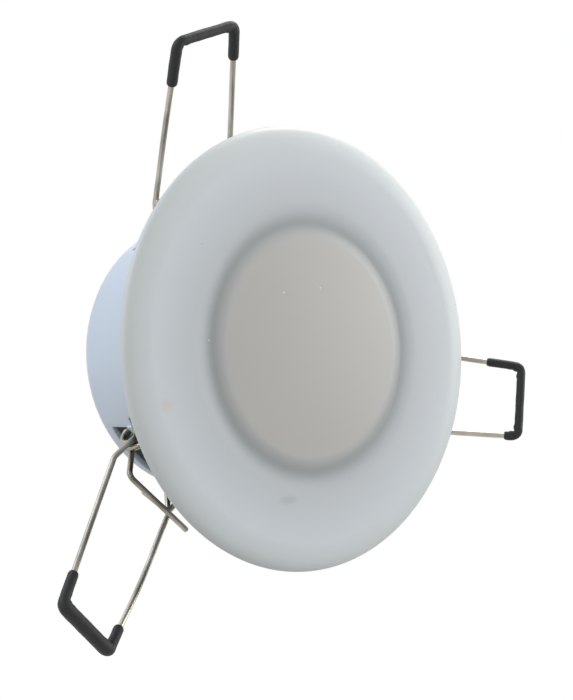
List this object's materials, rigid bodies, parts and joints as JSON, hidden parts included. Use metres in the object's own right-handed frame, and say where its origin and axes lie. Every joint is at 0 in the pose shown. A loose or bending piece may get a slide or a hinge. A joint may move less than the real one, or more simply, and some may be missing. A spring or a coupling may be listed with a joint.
{
  "type": "recessed downlight",
  "caption": "Round recessed ceiling downlight with a one-piece opal face, a cylindrical rear housing and sprung wire clips hinged in openings round it.",
  "frame": {"origin": "centre of the collar, in the plane where the gasket meets the ceiling", "axes": "+Z from the ceiling plane into the ceiling, away from the face; +X from the lamp's axis to the middle of the first clip"},
  "size_m": [0.1485, 0.1496, 0.0808],
  "materials": {
    "opal_plastic": "glossy",
    "white_plastic": "satin",
    "gasket_foam": "matte",
    "seal_rubber": "matte",
    "sleeve_rubber": "satin",
    "spring_wire": "satin",
    "screw_steel": "satin",
    "sink_metal": "satin",
    "reflector_white": "satin",
    "board_white": "satin",
    "led_phosphor": "matte",
    "thermal_pad": "matte",
    "tray_plastic": "matte",
    "board_green": "satin",
    "ferrite": "matte",
    "coil_tape": "satin",
    "capacitor_can": "satin",
    "film_box": "matte",
    "black_epoxy": "matte",
    "lead_red": "satin",
    "lead_brown": "satin",
    "gland_plastic": "satin"
  },
  "bodies": {
    "lamp": {"face_cover": "opal_plastic", "ceiling_gasket": "gasket_foam", "face_seal": "seal_rubber", "face_screws": "screw_steel", "reflector_cup": "reflector_white", "led_board": "board_white", "led_packages": "led_phosphor", "board_screws": "screw_steel", "thermal_pad": "thermal_pad", "heat_sink": "sink_metal", "sink_screws": "screw_steel", "driver_tray": "tray_plastic", "driver_lid": "tray_plastic", "driver_board": "board_green", "transformer_core": "ferrite", "transformer_coil": "coil_tape", "bulk_capacitor": "capacitor_can", "output_capacitor": "capacitor_can", "film_capacitor": "film_box", "rectifier": "black_epoxy", "led_leads": "lead_red", "mains_leads": "lead_brown", "terminal_block": "gland_plastic", "terminal_screws": "screw_steel", "housing": "white_plastic", "cap_seal": "seal_rubber", "rear_cap": "white_plastic", "cap_screws": "screw_steel", "gland_body": "gland_plastic", "gland_seal": "seal_rubber", "gland_nut": "gland_plastic"},
    "clip_1": {"spring_coils_1": "spring_wire"},
    "clip_2": {"spring_coils_2": "spring_wire"},
    "clip_3": {"spring_coils_3": "spring_wire"},
    "arm_1": {"spring_arm_1": "spring_wire", "arm_sleeve_1": "sleeve_rubber"},
    "arm_2": {"spring_arm_2": "spring_wire", "arm_sleeve_2": "sleeve_rubber"},
    "arm_3": {"spring_arm_3": "spring_wire", "arm_sleeve_3": "sleeve_rubber"}
  },
  "joints": [
    {"name": "clip_swing_1", "type": "hinge", "parent": "lamp", "child": "clip_1", "pos_m": [0.03558, 0, 0.0313], "axis": [0, -1, 0], "range_deg": [-33, 4]},
    {"name": "arm_twist_1", "type": "hinge", "parent": "clip_1", "child": "arm_1", "pos_m": [0.03558, 0, 0.0313], "axis": [0, -1, 0], "range_deg": [0, 86], "stiffness_Nm_per_rad": 0.5},
    {"name": "clip_swing_2", "type": "hinge", "parent": "lamp", "child": "clip_2", "pos_m": [-0.01779, 0.03081, 0.0313], "axis": [0.866, 0.5, 0], "range_deg": [-19.4, 17.6]},
    {"name": "arm_twist_2", "type": "hinge", "parent": "clip_2", "child": "arm_2", "pos_m": [-0.01779, 0.03081, 0.0313], "axis": [0.866, 0.5, 0], "range_deg": [0, 86], "stiffness_Nm_per_rad": 0.5},
    {"name": "clip_swing_3", "type": "hinge", "parent": "lamp", "child": "clip_3", "pos_m": [-0.01779, -0.03081, 0.0313], "axis": [-0.866, 0.5, 0], "range_deg": [-7.2, 29.8]},
    {"name": "arm_twist_3", "type": "hinge", "parent": "clip_3", "child": "arm_3", "pos_m": [-0.01779, -0.03081, 0.0313], "axis": [-0.866, 0.5, 0], "range_deg": [0, 86], "stiffness_Nm_per_rad": 0.5}
  ]
}
